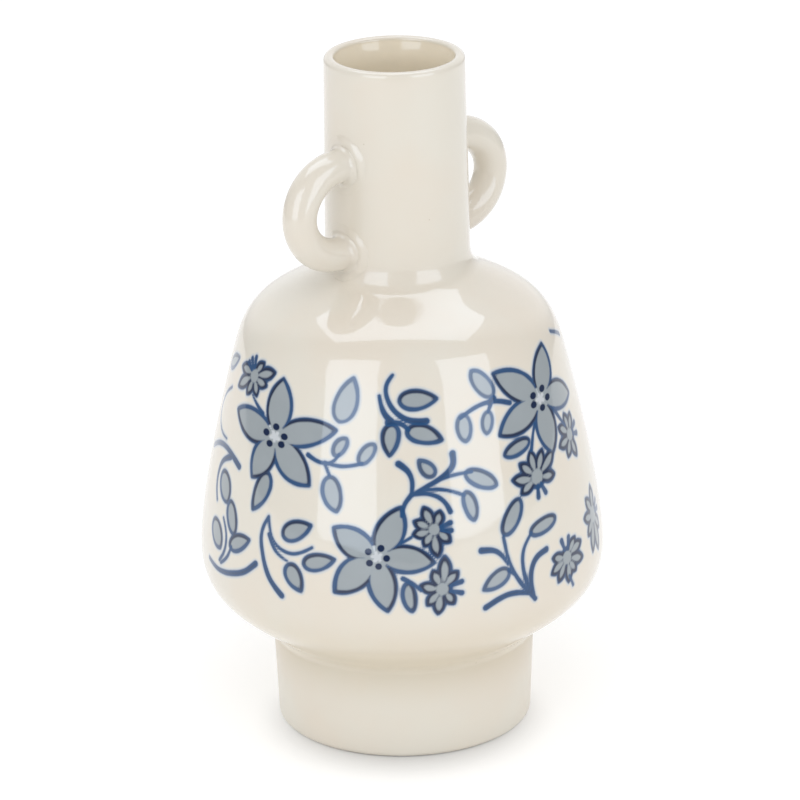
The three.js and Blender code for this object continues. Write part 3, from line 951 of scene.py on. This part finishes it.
class Graph:
    """The node tree of a material or a world, built by short calls that return output sockets."""

    def __init__(
        self, owner, shader="ShaderNodeBsdfPrincipled", output="ShaderNodeOutputMaterial", place="Object",
    ):
        owner.use_nodes = True
        self.tree = owner.node_tree
        self.tree.nodes.clear()
        end = self.node(output)
        self.shader = self.node(shader)
        self.feed(end, {"Surface": self.shader.outputs[0]})
        self.place = self.node("ShaderNodeTexCoord").outputs[place]

    def node(self, kind, inputs=None, **settings):
        made = self.tree.nodes.new(kind)
        for key, value in settings.items():
            setattr(made, key, value)
        self.feed(made, inputs or {})
        return made

    def feed(self, node, inputs):
        """Links or sets a node's inputs, by name or by number."""
        for name, value in inputs.items():
            if isinstance(value, bpy.types.NodeSocket):
                self.tree.links.new(value, node.inputs[name])
            else:
                node.inputs[name].default_value = value

    def math(self, operation, a, b=0.0):
        return self.node("ShaderNodeMath", {0: a, 1: b}, operation=operation).outputs[0]

    def times(self, a, b):
        return self.math("MULTIPLY", a, b)

    def plus(self, a, b):
        return self.math("ADD", a, b)

    def minus(self, a, b):
        return self.math("SUBTRACT", a, b)

    def ramp(self, value, low, high, start=0.0, end=1.0):
        """From start at low to end at high, with a smooth step between; low may be the larger."""
        inputs = {"Value": value, "From Min": low, "From Max": high, "To Min": start, "To Max": end}
        return self.node("ShaderNodeMapRange", inputs, interpolation_type="SMOOTHSTEP").outputs["Result"]

    def mix(self, share, a, b):
        return self.node("ShaderNodeMix", {0: share, 6: a, 7: b}, data_type="RGBA").outputs[2]

    def blend(self, share, a, b):
        """The same for plain numbers."""
        return self.node("ShaderNodeMix", {0: share, 2: a, 3: b}).outputs[0]

    def noise(self, scale, detail=2.0, rough=0.5, w=0.0):
        inputs = {"Vector": self.place, "W": w, "Scale": scale, "Detail": detail, "Roughness": rough}
        return self.node("ShaderNodeTexNoise", inputs, noise_dimensions="4D").outputs[0]

    def height(self):
        return self.node("ShaderNodeSeparateXYZ", {0: self.place}).outputs["Z"]

    def stored(self, layer):
        return self.node("ShaderNodeAttribute", attribute_name=layer).outputs["Fac"]

    def distance(self, layer):
        """Distance in mm from a painted mark, as stored by paint()."""
        return self.minus(REACH, self.stored(layer))

    def bump(self, value, depth, strength, under=None):
        inputs = {"Strength": strength, "Distance": depth, "Height": value}
        if under is not None:
            inputs["Normal"] = under
        return self.node("ShaderNodeBump", inputs).outputs[0]


def cream_colour(g):
    """Uneven cream glaze over a warm body, darker and yellower in bands over the seams, as pooled glaze and,
    under the bowl, mostly painted shade; painted lighter inside the mouth.
    """
    colour = g.mix(g.ramp(g.noise(26.0, 3.0, w=1.7), 0.36, 0.66), CREAM_WARM, CREAM_COOL)
    colour = g.mix(0.5, colour, CREAM)
    z = g.height()
    # pooled glaze below the neck; over the foot seam mostly painted shade under the bowl
    for middle, half, share in POOL_AND_SHADE_BANDS:
        away = g.math("ABSOLUTE", g.minus(z, middle))
        colour = g.mix(g.times(g.ramp(away, half, 0.0), share), colour, POOLED_GLAZE_AND_SHADE)
    cells = g.node("ShaderNodeTexVoronoi", {"Vector": g.place, "Scale": 150.0}, feature="F1")
    # painted light: the inside turns lighter and warmer below the rim
    deep = g.ramp(z, *(neck_high[2] - depth for depth in INSIDE_LIGHT_DEPTH))
    colour = g.mix(g.times(g.stored("inside"), deep), colour, INSIDE_PAINTED_LIGHT)
    speck = g.ramp(cells.outputs["Distance"], 0.055, 0.02)
    rare = g.ramp(g.noise(90.0, 0.0, w=4.2), 0.66, 0.70)
    return g.mix(g.times(g.times(speck, rare), 0.55), colour, SPECK)


def painted_colour(g, ground):
    """The cobalt lines, grey wash and dots, from the distances stored on the mesh."""
    outline, wash = g.distance("outline"), g.distance("wash")
    brush, dots, core = g.distance("brush"), g.distance("dots"), g.distance("core")
    pale, deep = g.stored("pale"), g.stored("deep")
    waver = g.minus(g.noise(160.0, 2.0, w=2.9), 0.5)
    half = g.plus(LINE_HALF, g.times(waver, 0.55))
    half = g.minus(half, g.times(pale, 0.08))
    from_line = g.minus(g.math("ABSOLUTE", outline), half)
    from_brush = g.minus(brush, g.times(waver, 0.45))
    edge = g.ramp(core, *CORE_LINE)
    line = g.times(g.ramp(from_line, *LINE_EDGE), edge)
    stroke = g.ramp(from_brush, *STROKE_EDGE)
    dot = g.ramp(g.minus(dots, g.times(waver, 0.5)), *DOT_EDGE)
    nearest = g.math("MINIMUM", g.math("MINIMUM", from_line, from_brush), dots)
    halo = g.times(g.ramp(nearest, *HALO_EDGE), 0.72)
    colour = g.mix(halo, ground, HALO)
    ragged = g.plus(wash, g.times(waver, 0.5))
    filled = g.times(g.ramp(ragged, *WASH_EDGE), g.ramp(core, *CORE_WASH))
    cloud = g.times(g.ramp(g.noise(70.0, 2.0, w=7.1), 0.3, 0.7), 0.22)
    grey = g.mix(g.plus(g.times(pale, 0.75), cloud), WASH, WASH_PALE)
    colour = g.mix(g.times(filled, 0.94), colour, grey)
    dark = g.times(g.ramp(outline, *DARK_EDGE), g.plus(0.15, g.times(deep, 0.85)))
    ink = g.mix(dark, COBALT, NAVY)
    ink = g.mix(g.times(pale, 0.62), ink, FADED)
    colour = g.mix(g.times(line, 0.97), colour, ink)
    wet = g.times(g.ramp(from_brush, *WET_EDGE), 0.45)
    colour = g.mix(g.times(stroke, 0.97), colour, g.mix(wet, COBALT, NAVY))
    return g.mix(dot, colour, NAVY)


def glaze(name, painted=False, gloss=1.0):
    """A clear glaze over the clay, and over the painting where there is one."""
    material = bpy.data.materials.new(name)
    g = Graph(material)
    ground = cream_colour(g)
    colour = painted_colour(g, ground) if painted else ground
    rough = g.ramp(g.noise(45.0, 2.0, w=3.3), 0.3, 0.7)
    roughness = g.plus(0.30 + 0.22 * (1 - gloss), g.times(rough, 0.08))
    swell = g.bump(g.noise(38.0, 2.0, w=5.0), 0.35 * MM, 0.6)
    peel = g.bump(g.noise(420.0, 2.0, w=6.0), 0.02 * MM, 0.35, swell)
    g.feed(g.shader, {
        "Base Color": colour,
        "Roughness": roughness,
        "Specular IOR Level": 0.1,
        "Coat Weight": gloss,
        "Coat Roughness": 0.05 + 0.25 * (1 - gloss),
        "Coat IOR": 1.42,
        "Normal": peel,
        "Coat Normal": peel,
    })
    return material


def paper_floor():
    material = bpy.data.materials.new("pale_floor")
    g = Graph(material)
    tone = g.ramp(g.noise(3.0, 3.0, w=0.4), 0.2, 0.8)
    colour = g.mix(tone, srgb(218, 218, 218), srgb(221, 221, 221))
    shadow = round_the_vase(0, SHADOW_FORWARD, 0)
    from_shadow = g.node("ShaderNodeVectorMath", {0: g.place, 1: shadow}, operation="DISTANCE")
    clear = g.ramp(from_shadow.outputs["Value"], SHADOW_DARK, SHADOW_CLEAR)
    g.feed(g.shader, {
        "Base Color": colour,
        "Roughness": 0.9,
        "Specular IOR Level": 0.1,
        "Emission Color": srgb(255, 255, 255),
        "Emission Strength": g.times(clear, FLOOR_GLOW),
    })
    return material


# ---- The object ----

def place(piece, slot, material, *nodes):
    piece.data.materials.append(material)
    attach(piece, "root")
    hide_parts(*nodes)


def build_vase():
    painted = glaze("painted_glaze_over_cobalt", painted=True)
    plain = glaze("plain_cream_glaze")
    thin = glaze("thin_foot_glaze", gloss=0.45)
    bowl, shoulder = make_bowl(), make_shoulder()
    for piece in (bowl, shoulder):
        paint(piece)
    place(bowl, "painted_glaze", painted, "bowl")
    place(shoulder, "painted_glaze", painted, "shoulder")
    place(make_foot(), "foot_glaze", thin, "foot")
    place(make_neck(), "plain_glaze", plain, "neck")
    foot_seam = make_seam("foot_seam_clay", "foot_seam_coil", FOOT_SEAM_LOW, FOOT_SEAM_HIGH)
    neck_seam = make_seam("neck_seam_clay", "neck_seam_coil", NECK_SEAM_LOW, NECK_SEAM_HIGH)
    place(foot_seam, "seam_clay", plain, "foot_seam_coil")
    place(neck_seam, "seam_clay", plain, "neck_seam_coil")
    place(make_belly_coil(), "seam_clay", plain, "belly_seam_coil")
    for seed, (name, side) in enumerate((("handle_left", -1), ("handle_right", 1))):
        place(make_handle(f"{name}_clay", side), "plain_glaze", plain, name)
        for upper, level in ((True, "upper"), (False, "lower")):
            bead = make_bead(f"{name}_{level}_bead_clay", side, upper, 1.0 + seed + 2 * upper)
            place(bead, "seam_clay", plain, f"{name}_{level}_bead")


# ---- Stage ----

FLOOR_HALF = 1.0  # of a square table, turned to face the camera
FLOOR_GLOW = 0.41  # a light table's own light, which keeps the floor white
SHADOW_FORWARD = 12 * MM  # middle of the soft contact shadow, where that light fades, towards the camera
SHADOW_DARK = 25 * MM  # no light nearer the shadow's middle than this, and all of it past the next
SHADOW_CLEAR = 56 * MM
FILL_LIGHT = 0.86
FILL_SEEN = 1.0  # the fill as the camera sees it past the floor's edge
MIRRORED_FRONT = 0.2  # and as the glaze mirrors it between the soft boxes: a dim room in front,
MIRRORED_BACK = 1.1  # pale walls behind and above
PALE_TILT = 40  # degrees above the horizon that the middle of the pale part lies
PALE_EDGE = (0.45, 0.78)  # cosines from that middle between which the room turns from dim to pale
PANEL_RADIANCE = 3.3
TOP_RADIANCE = 3.1
TOP_HEIGHT, TOP_BACK, TOP_ASIDE = 1.3, 0.30, 0.02
TOP_WIDTH, TOP_DEPTH = 1.38, 0.78
KEY_RADIANCE = 1.9
KEY_AHEAD, KEY_HEIGHT, KEY_WIDTH = 1.0, 1.3, 0.8
KEY_RISE, KEY_LEAN = 0.6, 0.5  # from the key's lower edge to its upper one, up and away from the camera
COOL = (0.86, 0.98, 1.16)  # tint of the soft boxes, next to the warmer key

# direction faced from, left and right edge, distance at the foot and at the head, height of the head
PANELS = {
    "softbox_left": (-8.0, -1.19, -0.16, 1.39, 1.00, 1.31),
    "softbox_right": (25.0, 0.09, 1.10, 1.50, 1.00, 1.14),
}


def round_the_vase(azimuth, distance, height, aside=0.0):
    """A place by its angle to the right of the camera's direction, then some way to the right of that."""
    angle = math.radians(FRONT + azimuth)
    x = distance * math.cos(angle) - aside * math.sin(angle)
    y = distance * math.sin(angle) + aside * math.cos(angle)
    return Vector((x, y, height))


def build_floor():
    corners = [round_the_vase(a, FLOOR_HALF * math.sqrt(2), -0.02 * MM) for a in (-45, 45, 135, 225)]
    floor = new_piece("floor", corners, [[0, 1, 2, 3]])
    floor.data.materials.append(paper_floor())


def soft_box(name, centre, right, up, radiance, mirrored):
    """A rectangular light spanning the vectors right and up, which only the glaze mirrors or only lights."""
    light = bpy.data.lights.new(name, "AREA")
    light.shape = "RECTANGLE"
    light.size, light.size_y = right.length, up.length
    light.energy = radiance * math.pi * right.length * up.length
    light.color = COOL if mirrored else (1.0, 1.0, 1.0)
    made = bpy.data.objects.new(name, light)
    x, y = right.normalized(), up.normalized()
    made.rotation_euler = Matrix((x, y, x.cross(y))).transposed().to_euler()
    made.location = centre
    made.visible_diffuse = not mirrored
    made.visible_glossy = mirrored
    bpy.context.scene.collection.objects.link(made)


def build_lights():
    for name, (azimuth, left, right, foot, head, height) in PANELS.items():
        low_left = round_the_vase(azimuth, foot, 0, left)
        low_right = round_the_vase(azimuth, foot, 0, right)
        high_left = round_the_vase(azimuth, head, height, left)
        high_right = round_the_vase(azimuth, head, height, right)
        centre = (low_left + low_right + high_left + high_right) / 4
        soft_box(name, centre, low_right - low_left, high_left - low_left, PANEL_RADIANCE, True)
    front = round_the_vase(0, 1, 0)
    side = round_the_vase(90, 1, 0)
    top = Vector((0, 0, TOP_HEIGHT)) - TOP_BACK * front + TOP_ASIDE * side
    soft_box("softbox_above", top, TOP_WIDTH * side, -TOP_DEPTH * front, TOP_RADIANCE, True)
    key = KEY_AHEAD * front + Vector((0, 0, KEY_HEIGHT))
    rise = Vector((0, 0, KEY_RISE)) - KEY_LEAN * front
    soft_box("key", key, KEY_WIDTH * side, rise, KEY_RADIANCE, False)


def build_world():
    """An even fill from all round, which the glaze mirrors dimmer in front than behind and above."""
    world = bpy.data.worlds.new("studio")
    g = Graph(world, "ShaderNodeBackground", "ShaderNodeOutputWorld", "Generated")
    rays = g.node("ShaderNodeLightPath").outputs
    tilt = math.radians(PALE_TILT)
    pale_side = round_the_vase(180, math.cos(tilt), math.sin(tilt))
    facing = g.node("ShaderNodeVectorMath", {0: g.place, 1: pale_side}, operation="DOT_PRODUCT")
    room = g.ramp(facing.outputs["Value"], *PALE_EDGE, MIRRORED_FRONT, MIRRORED_BACK)
    mirrored = g.blend(rays["Is Glossy Ray"], FILL_LIGHT, room)
    seen = g.blend(rays["Is Camera Ray"], mirrored, FILL_SEEN)
    g.feed(g.shader, {"Color": (1.0, 1.0, 1.0, 1.0), "Strength": seen})
    bpy.context.scene.world = world


def build_camera():
    data = bpy.data.cameras.new("camera")
    data.lens, data.sensor_width = CAMERA_LENS, CAMERA_SENSOR
    camera = bpy.data.objects.new("camera", data)
    camera.location = round_the_vase(0, CAMERA_DISTANCE, CAMERA_HEIGHT)
    turn = Euler((0, 0, math.radians(VIEW_AZIMUTH))).to_matrix()
    tilt = Euler((math.radians(90 - CAMERA_TILT), 0, 0)).to_matrix()
    roll = Euler((0, 0, math.radians(CAMERA_ROLL))).to_matrix()
    camera.rotation_euler = (turn @ tilt @ roll).to_euler()
    bpy.context.scene.collection.objects.link(camera)
    bpy.context.scene.camera = camera


def main():
    build_camera()
    build_vase()
    build_floor()
    build_lights()
    build_world()
    bpy.context.scene.view_settings.view_transform = "Standard"


main()
